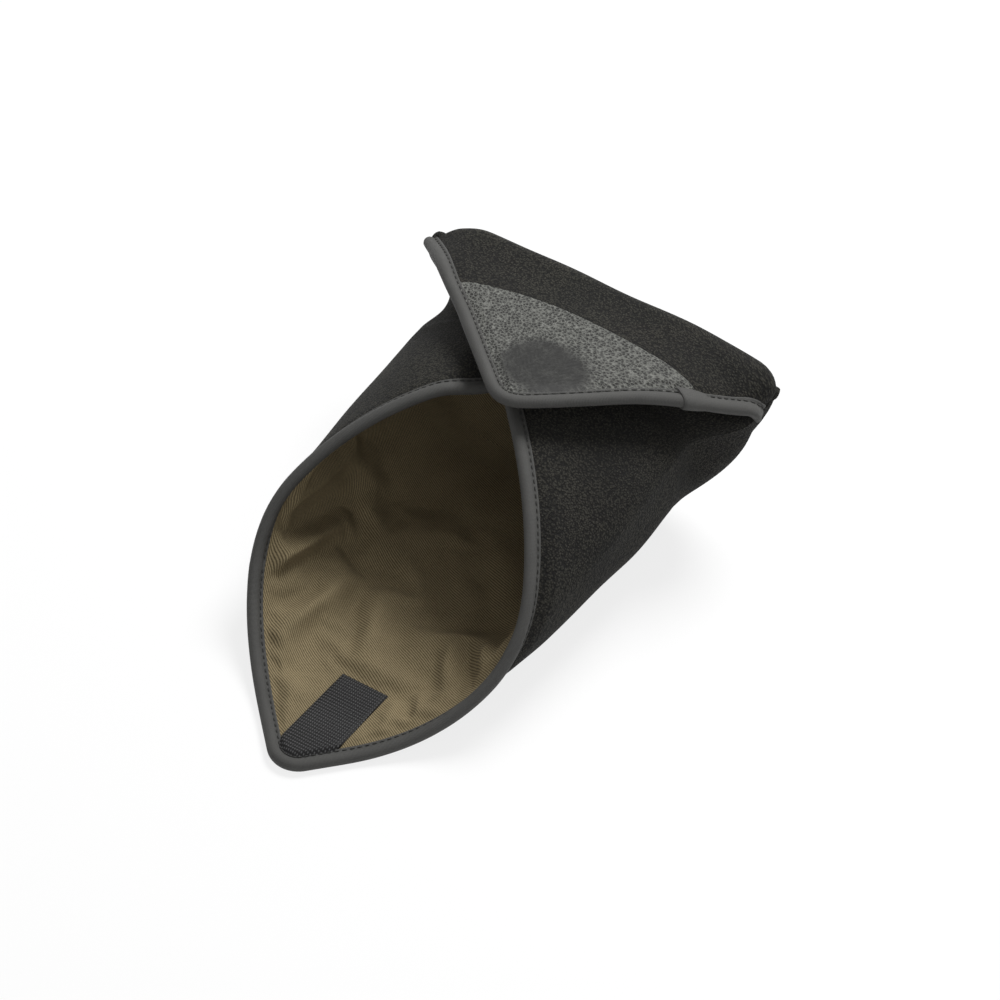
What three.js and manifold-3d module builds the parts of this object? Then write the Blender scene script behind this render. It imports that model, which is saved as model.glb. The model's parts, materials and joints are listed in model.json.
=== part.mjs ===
import * as THREE from "three";
import { mergeVertices } from "three/addons/utils/BufferGeometryUtils.js";
import Module from "manifold-3d";

// Driving sizes in millimetres. The cloth lies as a rolled pouch: x across, y from the front tip to the back fold, z up.
const cloth = { half: 2, skin: 0.6, gap: 0.4 };
const tape = { width: 5, wall: 0.8, rim: 1, least: 0.8 };
const tube = { flat: 20, lowRadius: 46, sideRadius: 31 };
const tongue = { hinge: 64, axisHeight: 9, swing: 40, tipRadius: 13, easeFront: 30, easeRear: 24 };
const stern = { start: 198, foldY: 244, foldZ: 82, rollRadius: 7.5, shift: 10, tilt: 0.04, corner: 30 };
const lap = { middle: 4.5, edge: 13 };
const ear = { drop: 2, inset: 3, start: 2, taper: 16 };
const rim = { from: 9, to: 1, past: 5 };
const left = { spread: 0.03, rise: 0.06, flare: 15, tuck: 13 };
const right = { spread: 0.09, rise: 0.2, flare: 21, tuck: -6 };
const sideRear = 205;
const flap = { half: 92, tipRadius: 11, lift: 4.5, overlap: 13, dipFrom: 22, dipTo: 4, cornerRound: 6 };
const strip = { width: 24, start: 19, end: 58, offset: 4, thick: 1.6 };
const patch = { leg: 88, bow: 9, thick: 1.1 };
const pad = { near: 32, far: 56, half: 22, thick: 1.1 };
const cover = { inset: 24, length: 11, wall: 0.5, gap: 0.3 };
// Clearances where pieces swing past each other, and how fast the binding narrows towards a hinge
const clear = { notch: 0.2, seam: 0.25, roll: 0.35 };
const taper = { tongue: 0.45, base: 0.8, flap: 0.38, closing: 1.2 };

const wasm = await Module();
wasm.setup();

const sin60 = Math.sin(Math.PI / 3);
const third = Math.PI / 3;
const lerp = (a, b, t) => a + (b - a) * t;
const clamp = (v, lo, hi) => Math.min(hi, Math.max(lo, v));
const smooth = (a, b, v) => {
  const t = clamp((v - a) / (b - a), 0, 1);
  return t * t * (3 - 2 * t);
};

// Section of the rolled cloth: a flat, then three arcs of sixty degrees that close on the centre line
const halfWidth = tube.flat + tube.lowRadius * sin60 + tube.sideRadius * (1 - sin60);
const sideHeight = (tube.lowRadius + tube.sideRadius) / 2;
const topRadius = (halfWidth - tube.sideRadius * (1 - sin60)) / sin60;
const arcs = [tube.lowRadius, tube.sideRadius, topRadius];
const sideLength = tube.flat + third * tube.lowRadius + (third / 2) * tube.sideRadius;
const topLength = tube.flat + third * (arcs[0] + arcs[1] + arcs[2]);
const topHeight = tube.lowRadius / 2 + tube.sideRadius + topRadius / 2;

function section(s) {
  let x = Math.min(s, tube.flat);
  let z = 0;
  let done = tube.flat;
  arcs.forEach((r, k) => {
    const u = clamp(s - done, 0, third * r);
    const a = k * third;
    x += r * (Math.sin(a + u / r) - Math.sin(a));
    z += r * (Math.cos(a) - Math.cos(a + u / r));
    done += third * r;
  });
  return [x - Math.max(0, s - done), z];
}

// Keel: flat on the ground, then a quarter ellipse up the stern to the fold
const sternOverhang = 0.7 * stern.rollRadius;
const keelDepth = stern.foldY + sternOverhang - stern.start;
const sternLength = (Math.PI / 2) * Math.sqrt((keelDepth ** 2 + stern.foldZ ** 2) / 2);
const keelEnd = stern.start + sternLength;

function keel(d) {
  const a = (Math.max(0, d - stern.start) / sternLength) * (Math.PI / 2);
  const x = stern.shift * smooth(stern.start, keelEnd, d);
  return [x, Math.min(d, stern.start) + keelDepth * Math.sin(a), stern.foldZ * (1 - Math.cos(a))];
}

// Side line: straight from the mouth to the rear of the side flap, then tucked in or out into the ear of the fold
const earY = stern.foldY - ear.drop;

function sideLine(sign, y) {
  const { spread, rise, flare, tuck } = sign > 0 ? right : left;
  const run = Math.max(0, y - sideLength);
  const turn = smooth(sideRear, earY, y);
  const x = sign * (halfWidth + run * spread + flare * turn - tuck * Math.sin(Math.PI * turn));
  const top = stern.foldZ - ear.drop - stern.tilt * (x - stern.shift);
  return [x, y, lerp(sideHeight + run * rise, top, turn)];
}

// Row of the stern: flat, quarter round and upright, as shares of its width and height
function cornered(t, width, height) {
  const r = Math.min(stern.corner, height);
  const flat = width - r;
  const bend = (Math.PI / 2) * r;
  const s = t * (flat + bend + height - r);
  const a = clamp((s - flat) / r, 0, Math.PI / 2);
  return [(Math.min(s, flat) + r * Math.sin(a)) / width, (r * (1 - Math.cos(a)) + Math.max(0, s - flat - bend)) / height];
}

function lowerMap(s, d) {
  const sign = s < 0 ? -1 : 1;
  const t = Math.abs(s) / sideLength;
  const k = keel(d);
  const y = d < stern.start ? d : lerp(stern.start, earY, (d - stern.start) / sternLength);
  const h = sideLine(sign, y);
  const reach = t * (sideLength + h[2] - sideHeight);
  const [px, pz] = reach < sideLength ? section(reach) : [halfWidth, sideHeight + reach - sideLength];
  const [cx, cz] = cornered(t, Math.abs(h[0] - k[0]), Math.max(1, h[2] - k[2]));
  const w = smooth(stern.start, stern.start + sternLength / 2, d);
  const fx = lerp(px / halfWidth, cx, w);
  const fz = lerp(pz / h[2], cz, w);
  return new THREE.Vector3(lerp(k[0], h[0], fx), lerp(k[1], h[1], fz), lerp(k[2], h[2], fz));
}

// Closing flap: a plane that rises from the fold and clears the corners of the side flaps below it
const stack = 2 * (cloth.half + tape.wall) + cloth.gap;
const cornerY = topLength + flap.overlap;
const flapRise = (topHeight + stack - stern.foldZ - flap.lift) / (stern.foldY - cornerY);
const flapCos = 1 / Math.hypot(1, flapRise);
const flapZ = (y) => stern.foldZ + flap.lift + flapRise * (stern.foldY - y);

function flapMap(x, q) {
  const y = stern.foldY - q * flapCos;
  return new THREE.Vector3(stern.shift + x, y, flapZ(y) - stern.tilt * x);
}

// Side flaps: upper half of the section, widening behind the mouth edge, the left corner dipping under the right one
function upperMap(sign) {
  return (s, y) => {
    const h = sideLine(sign, sideLength + Math.max(0, y - s));
    const [px, pz] = section(s);
    const top = Math.min(topHeight, flapZ(y) - stack);
    const dip = sign < 0 ? -stack * smooth(topLength - flap.dipFrom, topLength - flap.dipTo, s) : 0;
    const fz = (pz - sideHeight) / (topHeight - sideHeight);
    return new THREE.Vector3((px / halfWidth) * Math.abs(h[0]) * sign, y, lerp(h[2], top, fz) + dip);
  };
}

function normalAt(map, a, b) {
  const e = 0.05;
  const da = map(a + e, b).sub(map(a - e, b));
  const db = map(a, b + e).sub(map(a, b - e));
  return da.cross(db).normalize();
}

const outward = (map, a, b, n, flip) => map(a, b).addScaledVector(normalAt(map, a, b), n * flip);

function finish(points, faces) {
  let volume = 0;
  for (const [i, j, k] of faces) volume += points[i].dot(points[j].clone().cross(points[k]));
  const list = volume < 0 ? faces.map(([i, j, k]) => [i, k, j]) : faces;
  const geometry = new THREE.BufferGeometry();
  geometry.setAttribute("position", new THREE.Float32BufferAttribute(points.flatMap((p) => p.toArray()), 3));
  geometry.setIndex(list.flat());
  return geometry;
}

// One layer of cloth: a grid of surface points closed between two offsets, each point [a, b, share of the offset]
function layer(map, grid, low, high, flip) {
  const points = [];
  const faces = [];
  const nv = grid.length - 1;
  const nu = grid[0].length - 1;
  const at = (i, j, k) => (k * (nv + 1) + j) * (nu + 1) + i;
  for (const n of [low, high])
    for (const row of grid)
      for (const [a, b, share = 1] of row) points.push(outward(map, a, b, n * share, flip));
  const quad = (a, b, c, d) => faces.push([a, b, c], [a, c, d]);
  for (let j = 0; j < nv; j++)
    for (let i = 0; i < nu; i++) {
      quad(at(i, j, 1), at(i + 1, j, 1), at(i + 1, j + 1, 1), at(i, j + 1, 1));
      quad(at(i, j, 0), at(i, j + 1, 0), at(i + 1, j + 1, 0), at(i + 1, j, 0));
    }
  for (let i = 0; i < nu; i++) {
    quad(at(i, 0, 0), at(i + 1, 0, 0), at(i + 1, 0, 1), at(i, 0, 1));
    quad(at(i, nv, 1), at(i + 1, nv, 1), at(i + 1, nv, 0), at(i, nv, 0));
  }
  for (let j = 0; j < nv; j++) {
    quad(at(0, j, 1), at(0, j + 1, 1), at(0, j + 1, 0), at(0, j, 0));
    quad(at(nu, j, 0), at(nu, j + 1, 0), at(nu, j + 1, 1), at(nu, j, 1));
  }
  return finish(points, faces);
}

const gridOf = (domain, nu, nv) => Array.from({ length: nv + 1 }, (_, j) =>
  Array.from({ length: nu + 1 }, (_, i) => domain(i / nu, j / nv)));

// Edge binding: a channel section carried along the free edge, each stop given as edge point, inward direction and width
function channel(map, stops, flip, inner, outer, rim) {
  const points = [];
  const faces = [];
  const wall = outer - inner;
  for (const { a, b, ia, ib, w } of stops) {
    const loop = [[w, outer], [w / 2, outer], [-rim, outer], [-rim, -outer], [w / 2, -outer], [w, -outer],
      [w, -inner], [w / 2, -inner], [wall - rim, -inner], [wall - rim, inner], [w / 2, inner], [w, inner]];
    for (const [d, n] of loop) points.push(outward(map, a + ia * d, b + ib * d, n, flip));
  }
  const quad = (p, q, r, s) => faces.push([p, q, r], [p, r, s]);
  for (let k = 0; k + 1 < stops.length; k++)
    for (let c = 0; c < 12; c++) {
      const e = (c + 1) % 12;
      quad(k * 12 + c, k * 12 + e, k * 12 + 12 + e, k * 12 + 12 + c);
    }
  const last = (stops.length - 1) * 12;
  for (let c = 0; c < 5; c++) {
    quad(c, 11 - c, 10 - c, c + 1);
    quad(last + c, last + c + 1, last + 10 - c, last + 11 - c);
  }
  return finish(points, faces);
}

const outerLow = cloth.half - cloth.skin;
const coreHalf = outerLow - cloth.gap;
const tapeInner = coreHalf + cloth.gap;
const tapeOuter = tapeInner + tape.wall;
const root2 = Math.SQRT2;
const squeezed = 0.5;
const coreInset = 0.3;

// Free edges of a trimmed grid: the core runs on under the binding, squeezed thinner, and the binding follows it
function border(grid, widthAt, { left = false, right = false, tip = false }) {
  const nv = grid.length - 1;
  const nu = grid[0].length - 1;
  const flat = grid.flat();
  const centre = [0, 1].map((k) => flat.reduce((t, p) => t + p[k], 0) / flat.length);
  const away = (p, q, at) => {
    const l = Math.hypot(q[0] - p[0], q[1] - p[1]);
    const n = [(q[1] - p[1]) / l, (p[0] - q[0]) / l];
    const out = n[0] * (at[0] - centre[0]) + n[1] * (at[1] - centre[1]);
    return out < 0 ? [-n[0], -n[1]] : n;
  };
  const column = (i) => grid.map((row, j) => away(grid[Math.max(0, j - 1)][i], grid[Math.min(nv, j + 1)][i], row[i]));
  const push = (p, n, reach) => [p[0] + n[0] * reach, p[1] + n[1] * reach, squeezed];
  const reach = (p) => Math.max(squeezed, widthAt(p[0], p[1]) + cloth.gap - coreInset);
  const stop = (p, n) => {
    const w = widthAt(p[0], p[1]);
    return { a: p[0] + n[0] * (w + cloth.gap), b: p[1] + n[1] * (w + cloth.gap), ia: -n[0], ib: -n[1], w, row: p[1] };
  };
  const leftOut = left ? column(0) : [];
  const rightOut = right ? column(nu) : [];
  const core = grid.map((row, j) => [
    ...(left ? [push(row[0], leftOut[j], reach(row[0]))] : []),
    ...row.map((p, i) => ((left && i === 0) || (right && i === nu) ? [p[0], p[1], squeezed] : p)),
    ...(right ? [push(row[nu], rightOut[j], reach(row[nu]))] : []),
  ]);
  const leftStops = leftOut.map((n, j) => stop(grid[j][0], n)).reverse();
  const rightStops = rightOut.map((n, j) => stop(grid[j][nu], n));
  if (!tip) return { core, leftStops, rightStops };
  const front = grid[0];
  const frontOut = front.map((p, i) => away(front[Math.max(0, i - 1)], front[Math.min(nu, i + 1)], p));
  const between = (n, m) => {
    const l = Math.hypot(n[0] + m[0], n[1] + m[1]);
    return [(n[0] + m[0]) / l, (n[1] + m[1]) / l];
  };
  const corners = [between(leftOut[0], frontOut[0]), between(frontOut[nu], rightOut[0])];
  core.unshift([
    push(front[0], corners[0], reach(front[0])),
    ...front.map((p, i) => push(p, frontOut[i], reach(p))),
    push(front[nu], corners[1], reach(front[nu])),
  ]);
  const stops = [...leftStops, stop(front[0], corners[0]), ...front.map((p, i) => stop(p, frontOut[i])),
    stop(front[nu], corners[1]), ...rightStops];
  return { core, stops };
}

const slots = {
  outer: ["outer_loop_fabric", 0x2b2b28, 0.95],
  padding: ["foam_padding", 0x33332f, 0.9],
  lining: ["lining_twill", 0x786848, 0.9],
  binding: ["edge_binding", 0x4c4c4a, 0.7],
  leather: ["leather_patch", 0x3a3a38, 0.5],
  hook: ["hook_tape", 0x141414, 0.8],
};
const materials = Object.fromEntries(Object.entries(slots).map(([key, [name, color, roughness]]) =>
  [key, new THREE.MeshStandardMaterial({ name, color, roughness, metalness: 0 })]));

const group = new THREE.Group();
const add = (name, key, geometry) => {
  const mesh = new THREE.Mesh(geometry, materials[key]);
  mesh.name = name;
  group.add(mesh);
};

function clothLayers(name, map, grid, core, flip) {
  add(name + "_outer", "outer", layer(map, grid, outerLow, cloth.half, flip));
  add(name + "_padding", "padding", layer(map, core, -coreHalf, coreHalf, flip));
  add(name + "_lining", "lining", layer(map, grid, -cloth.half, -outerLow, flip));
}

function closed(geometry) {
  const bare = geometry.clone();
  bare.deleteAttribute("normal");
  bare.deleteAttribute("uv");
  const welded = mergeVertices(bare, 1e-4);
  return new wasm.Manifold(new wasm.Mesh({
    numProp: 3,
    vertProperties: new Float32Array(welded.attributes.position.array),
    triVerts: new Uint32Array(welded.index.array),
  }));
}

function opened(solid) {
  const mesh = solid.getMesh();
  const geometry = new THREE.BufferGeometry();
  geometry.setAttribute("position", new THREE.BufferAttribute(new Float32Array(mesh.vertProperties), 3));
  geometry.setIndex(new THREE.BufferAttribute(new Uint32Array(mesh.triVerts), 1));
  return geometry;
}

// A right-angled corner of the cloth with a rounded tip: half width at a distance from the sharp corner, inset from the edge
function cornerHalf(distance, radius, inset) {
  const r = Math.max(1, radius - inset);
  const dip = radius * root2 - distance;
  return dip > r / root2 ? Math.sqrt(Math.max(0, r * r - dip * dip)) : distance - inset * root2;
}

// First grid row inside a rounded tip
const tipRow = (radius, inset) => radius * root2 - (radius - inset) * 0.8;

// Front tongue and base part at a notch that widens with height, so the tongue can swing up
const swing = (tongue.swing * Math.PI) / 180;
const overAxis = (s) => Math.max(0, section(Math.abs(s))[1] + tapeOuter - tongue.axisHeight);
const notch = (s) => clear.notch + overAxis(s) * Math.tan(swing / 2);
const tongueEnd = tongue.hinge - notch(tongue.hinge);
const tongueTape = (y) => clamp((tongueEnd - y) * taper.tongue, tape.least, tape.width);
const tongueGrid = gridOf((u, v) => {
  const row = lerp(tipRow(tongue.tipRadius, tape.width + cloth.gap), tongue.hinge, v);
  const near = smooth(tongue.hinge - tongue.easeFront, tongue.hinge, row);
  const edge = row - notch(row) * near;
  const s = lerp(-1, 1, u) * cornerHalf(edge, tongue.tipRadius, tongueTape(edge) + cloth.gap);
  return [s, row - notch(s) * near];
}, 12, 6);
const tongueBorder = border(tongueGrid, (s, y) => tongueTape(y), { left: true, right: true, tip: true });
clothLayers("tongue", lowerMap, tongueGrid, tongueBorder.core, -1);
add("tongue_binding", "binding", channel(lowerMap, tongueBorder.stops, -1, tapeInner, tapeOuter, tape.rim));

const stripLow = cloth.half + cloth.gap;
const stripGrid = gridOf((u, v) =>
  [strip.offset + lerp(-0.5, 0.5, u) * strip.width, lerp(strip.start, strip.end, v)], 6, 3);
add("front_hook_strip", "hook", layer(lowerMap, stripGrid, -stripLow - strip.thick, -stripLow, -1));

// Base: the trough under the side lines with its stern, and the roll of the back fold joined to its outer cloth
const rearStation = stern.start + ((sideRear + ear.start - stern.start) / (earY - stern.start)) * sternLength;
const baseStart = tongue.hinge + notch(tongue.hinge);
const rimRows = 0.35;
const rimEnd = sideLength + rim.past;
const baseTape = (d) => {
  const share = 1 - smooth(sideLength - rim.from, sideLength - rim.to, d) + smooth(rearStation, rearStation + ear.taper, d);
  return Math.min(tape.width * share, Math.max(tape.least, (d - baseStart) * taper.base));
};
const baseEdge = (d) => Math.min(d, sideLength - clear.seam);
const clothEnd = (s) => keelEnd - stern.rollRadius - lerp(lap.middle, lap.edge, (Math.abs(s) / sideLength) ** 2);
const baseRow = (u, d) => {
  const diagonal = d < sideLength ? root2 : 1;
  return lerp(-1, 1, u) * (baseEdge(d) - (baseTape(d) + cloth.gap) * diagonal);
};
const baseGrid = gridOf((u, v) => {
  const mark = v < rimRows
    ? lerp(tongue.hinge, rimEnd, v / rimRows) : lerp(rimEnd, keelEnd, (v - rimRows) / (1 - rimRows));
  const near = 1 - smooth(tongue.hinge, tongue.hinge + tongue.easeRear, mark);
  const s = baseRow(u, mark + notch(mark) * near);
  const share = smooth(stern.start, keelEnd, mark);
  return [s, mark - (keelEnd - clothEnd(s)) * share + notch(s) * near];
}, 16, 16);
const lastRow = baseGrid[baseGrid.length - 1];
const baseOuterGrid = [...baseGrid, ...[0.5, 1].map((t) => lastRow.map(([s, d]) => [s, lerp(d, keelEnd, t)]))];
const bare = 0.1;
const baseBorder = border(baseGrid, (s, d) => Math.max(bare, baseTape(d)), { left: true, right: true });

const ends = [-1, 1].map((sign) => sideLine(sign, earY)[0] - sign * ear.inset);
const roll = new THREE.CylinderGeometry(stern.rollRadius, stern.rollRadius, ends[1] - ends[0], 20);
roll.rotateZ(Math.PI / 2);
roll.rotateY(Math.atan(stern.tilt));
roll.translate((ends[0] + ends[1]) / 2, stern.foldY, stern.foldZ);
add("base_outer", "outer", opened(closed(layer(lowerMap, baseOuterGrid, outerLow, cloth.half, -1)).add(closed(roll))));
add("base_padding", "padding", layer(lowerMap, baseBorder.core, -coreHalf, coreHalf, -1));
add("base_lining", "lining", layer(lowerMap, baseGrid, -cloth.half, -outerLow, -1));
for (const [where, stops] of [["left", baseBorder.leftStops], ["right", baseBorder.rightStops]]) {
  const wide = stops.filter((stop) => stop.w >= tape.least);
  const parts = { rim: wide.filter((t) => t.row < sideLength), ear: wide.filter((t) => t.row > sideLength) };
  for (const [name, part] of Object.entries(parts))
    add(`${name}_binding_${where}`, "binding", channel(lowerMap, part, -1, tapeInner, tapeOuter, tape.rim));
}

// Side flaps: from the side line up to the corner at the top, mouth edge in front and rear edge behind
const flapEdge = (y) => cornerY - Math.hypot(y - cornerY, flap.cornerRound);
const flapFront = sideLength + flap.cornerRound;
const flapTape = (y) => clamp((flapEdge(y) - sideLength - clear.seam) * taper.flap, tape.least, tape.width);
for (const sign of [-1, 1]) {
  const map = upperMap(sign);
  const name = sign > 0 ? "right_flap" : "left_flap";
  const flip = sign > 0 ? -1 : 1;
  const grid = gridOf((u, v) => {
    const y = lerp(flapFront, sideRear, v);
    return [lerp(sideLength + clear.seam, flapEdge(y) - (flapTape(y) + cloth.gap) * root2, u), y];
  }, 9, 10);
  const edge = border(grid, (s, y) => flapTape(y), { right: true });
  clothLayers(name, map, grid, edge.core, flip);
  add(name + "_binding", "binding", channel(map, edge.rightStops, flip, tapeInner, tapeOuter, tape.rim));
}

// Closing flap: half of the corner square, cut round the fold roll at its rear
const flapRear = Math.sqrt((stern.rollRadius + clear.roll) ** 2 - (flap.lift - cloth.half) ** 2);
const closingTape = (q) => clamp((q - flapRear) * taper.closing, tape.least, tape.width);
const closingGrid = gridOf((u, v) => {
  const far = lerp(tipRow(flap.tipRadius, tape.width + cloth.gap), flap.half - flapRear, v);
  return [lerp(-1, 1, u) * cornerHalf(far, flap.tipRadius, closingTape(flap.half - far) + cloth.gap), flap.half - far];
}, 6, 9);
const closingBorder = border(closingGrid, (x, q) => closingTape(q), { left: true, right: true, tip: true });
clothLayers("closing_flap", flapMap, closingGrid, closingBorder.core, -1);
add("closing_flap_binding", "binding", channel(flapMap, closingBorder.stops, -1, tapeInner, tapeOuter, tape.rim));

// Leather corner on the closing flap, its hook pad underneath and the cover over the join of the binding
const skinTop = cloth.half + cloth.gap;
const patchGrid = gridOf((u, v) => {
  const inset = tape.width + 2 * cloth.gap;
  const far = lerp(tipRow(flap.tipRadius, inset), patch.leg / root2, v);
  const t = lerp(-1, 1, u);
  return [t * cornerHalf(far, flap.tipRadius, inset), flap.half - far - patch.bow * (1 - t * t) * v];
}, 8, 6);
add("leather_corner_patch", "leather", layer(flapMap, patchGrid, skinTop, skinTop + patch.thick, -1));

const padGrid = gridOf((u, v) => [lerp(-1, 1, u) * pad.half, lerp(pad.near, pad.far, v)], 2, 2);
add("closing_hook_pad", "hook", layer(flapMap, padGrid, -skinTop - pad.thick, -skinTop, -1));

const coverStops = [0, 0.5, 1].map((t) => {
  const x = flap.half - cover.inset - (t * cover.length) / root2;
  return { a: x, b: flap.half - x, ia: -1 / root2, ib: -1 / root2, w: tape.width + 1 };
});
const coverInner = tapeOuter + cover.gap;
const coverRim = tape.rim + cover.gap + cover.wall;
add("binding_join_cover", "binding", channel(flapMap, coverStops, -1, coverInner, coverInner + cover.wall, coverRim));

const box = new THREE.Box3().setFromObject(group);
const centre = box.getCenter(new THREE.Vector3());
for (const mesh of group.children) mesh.geometry.translate(-centre.x, -centre.y, -box.min.z);

export default group;
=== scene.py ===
import json
import math

import bpy
import mathutils
import numpy as np
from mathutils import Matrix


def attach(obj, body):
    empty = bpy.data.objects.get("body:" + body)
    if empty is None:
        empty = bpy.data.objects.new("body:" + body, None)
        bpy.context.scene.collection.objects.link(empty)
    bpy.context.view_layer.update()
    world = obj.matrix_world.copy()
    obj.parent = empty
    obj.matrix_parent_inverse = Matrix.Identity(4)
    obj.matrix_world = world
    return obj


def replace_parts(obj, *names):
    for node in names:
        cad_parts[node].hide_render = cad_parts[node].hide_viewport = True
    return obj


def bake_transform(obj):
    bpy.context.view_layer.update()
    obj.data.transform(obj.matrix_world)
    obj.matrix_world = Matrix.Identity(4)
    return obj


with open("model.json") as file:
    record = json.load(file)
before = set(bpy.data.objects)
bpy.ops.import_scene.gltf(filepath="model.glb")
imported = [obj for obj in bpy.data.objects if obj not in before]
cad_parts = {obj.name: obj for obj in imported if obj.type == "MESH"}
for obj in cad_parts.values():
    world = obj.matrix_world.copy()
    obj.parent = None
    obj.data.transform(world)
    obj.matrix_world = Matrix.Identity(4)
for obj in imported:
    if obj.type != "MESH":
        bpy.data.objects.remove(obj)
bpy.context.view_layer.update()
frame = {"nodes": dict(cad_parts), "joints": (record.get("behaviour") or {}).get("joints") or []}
scene = bpy.context.scene
scene.view_settings.view_transform = "Standard"
joints = {joint["name"]: joint for joint in frame["joints"]}
print("frame loaded:", len(frame["nodes"]), "solids")

# Sizes of the folded cloth in millimetres: x from the middle of the tube, y from the front tip,
# z from mid cloth. The pairs in sides and ear are for the left and the right
cloth = {"half": 2.0, "foamLow": -1.1, "lining": (1.35, 1.85)}
tube = {"flat": 20.0, "lowRadius": 46.0, "sideRadius": 31.0}
pivot = {"tongueY": 64.0, "tongueZ": 9.0}
stern = {
    "start": 198.0, "foldY": 244.0, "foldZ": 82.0, "overhang": 5.25,
    "shift": 10.0, "tilt": 0.04, "corner": 30.0,
}
sides = {
    "spread": (0.03, 0.09), "rise": (0.06, 0.2), "flare": (15.0, 16.2),
    "late": (6.0, 1.0), "tuck": (9.0, -7.5), "rear": (214.0, 205.0),
}
ear = {"drop": (13.0, 8.5), "y": 242.0, "pull": (3.5, 5.0), "bulge": (0.0, 0.08)}
flap = {"half": 92.0, "lift": 4.5, "tipRadius": 12.0, "overlap": 13.0, "cornerRound": 6.0}
flapWarp = {
    "reach": 87.0, "skew": 5.0, "draw": 5.5,
    "rightBulge": 12.0, "leftBulge": 4.5, "rightDroop": 12.0, "leftDroop": 16.5,
}
endRoll = {"start": 79.0, "radius": 6.0, "extra": 8.0, "from": 21.0, "to": 12.0}
tongueTip = 13.0
split = {"front": 73.0, "side": 62.0, "rear": 215.0}
tuck = {"length": 48.0, "lean": 1.34, "sag": 2.0}

third = math.pi / 3
sin60 = math.sin(third)
halfWidth = tube["flat"] + tube["lowRadius"] * sin60 + tube["sideRadius"] * (1 - sin60)
sideHeight = (tube["lowRadius"] + tube["sideRadius"]) / 2
topRadius = (halfWidth - tube["sideRadius"] * (1 - sin60)) / sin60
arcs = (tube["lowRadius"], tube["sideRadius"], topRadius)
sideLength = tube["flat"] + third * arcs[0] + third / 2 * arcs[1]
topLength = tube["flat"] + third * sum(arcs)
topHeight = arcs[0] / 2 + arcs[1] + arcs[2] / 2
keelDepth = stern["foldY"] + stern["overhang"] - stern["start"]
sternLength = math.pi / 2 * math.sqrt((keelDepth**2 + stern["foldZ"] ** 2) / 2)
keelEnd = stern["start"] + sternLength
stack = 6.0  # two thicknesses of cloth with their binding
cornerY = topLength + flap["overlap"]
flapRise = (topHeight + stack - stern["foldZ"] - flap["lift"]) / (stern["foldY"] - cornerY)
flapCos = 1 / math.hypot(1, flapRise)
root2 = math.sqrt(2)

# The tongue's pivot is known in both frames, so it gives the shift from the cloth's own sizes
# to the part's frame
shift = np.array(joints["tongue_fold"]["pos_m"]) * 1000 - (0, pivot["tongueY"], pivot["tongueZ"])


def place(points):
    # from the cloth's millimetres to metres in the part's frame
    return (np.asarray(points) + shift) * 0.001


def ease(low, high, v):
    # a smooth step from 0 at low to 1 at high
    t = np.clip((v - low) / (high - low), 0, 1)
    return t * t * (3 - 2 * t)


def mix(a, b, t):
    return a + (b - a) * t


def stacked(x, y, z):
    return np.stack(np.broadcast_arrays(x, y, z), axis=-1)


def unit(v):
    return v / np.maximum(1e-9, np.linalg.norm(v, axis=-1, keepdims=True))


def bySide(pair, sign):
    # the left or the right value of a pair
    return np.where(sign > 0, pair[1], pair[0])


def section(s):
    # half of the rolled cloth by its own length: a flat, then three arcs of sixty degrees
    x, z, done = np.minimum(s, tube["flat"]), 0 * s, tube["flat"]
    for k, r in enumerate(arcs):
        turn = k * third + np.clip(s - done, 0, third * r) / r
        x = x + r * (np.sin(turn) - math.sin(k * third))
        z = z + r * (math.cos(k * third) - np.cos(turn))
        done += third * r
    return x - np.maximum(0, s - done), z


def keel(d):
    # the middle line: flat on the ground, then a quarter ellipse up the stern to the fold
    a = np.maximum(0, d - stern["start"]) / sternLength * math.pi / 2
    x = stern["shift"] * ease(stern["start"], keelEnd, d)
    return x, np.minimum(d, stern["start"]) + keelDepth * np.sin(a), stern["foldZ"] * (1 - np.cos(a))


def sideY(d):
    # how far back the side line is where the middle line has length d
    return np.where(d < stern["start"], d, mix(stern["start"], ear["y"], (d - stern["start"]) / sternLength))


def sideLine(sign, y):
    # straight along the pouch, then tucked in or out into the ear of the fold, where the cloth droops
    run = np.maximum(0, y - sideLength)
    turn = ease(bySide(sides["rear"], sign), ear["y"], y)
    flare = turn ** bySide(sides["late"], sign) * bySide(sides["flare"], sign)
    x = halfWidth + run * bySide(sides["spread"], sign) + flare
    x = sign * (x - bySide(sides["tuck"], sign) * np.sin(math.pi * turn))
    top = stern["foldZ"] - bySide(ear["drop"], sign) - stern["tilt"] * (x - stern["shift"])
    return x, mix(sideHeight + run * bySide(sides["rise"], sign), top, turn)


def cornered(t, width, height):
    # a stern row: flat, quarter round and upright, as shares of its width and height
    r = np.minimum(stern["corner"], height)
    bend = math.pi / 2 * r
    s = t * (width + bend + height - 2 * r)
    a = np.clip((s - width + r) / r, 0, math.pi / 2)
    x = np.minimum(s, width - r) + r * np.sin(a)
    return x / width, (r * (1 - np.cos(a)) + np.maximum(0, s - width + r - bend)) / height


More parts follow.
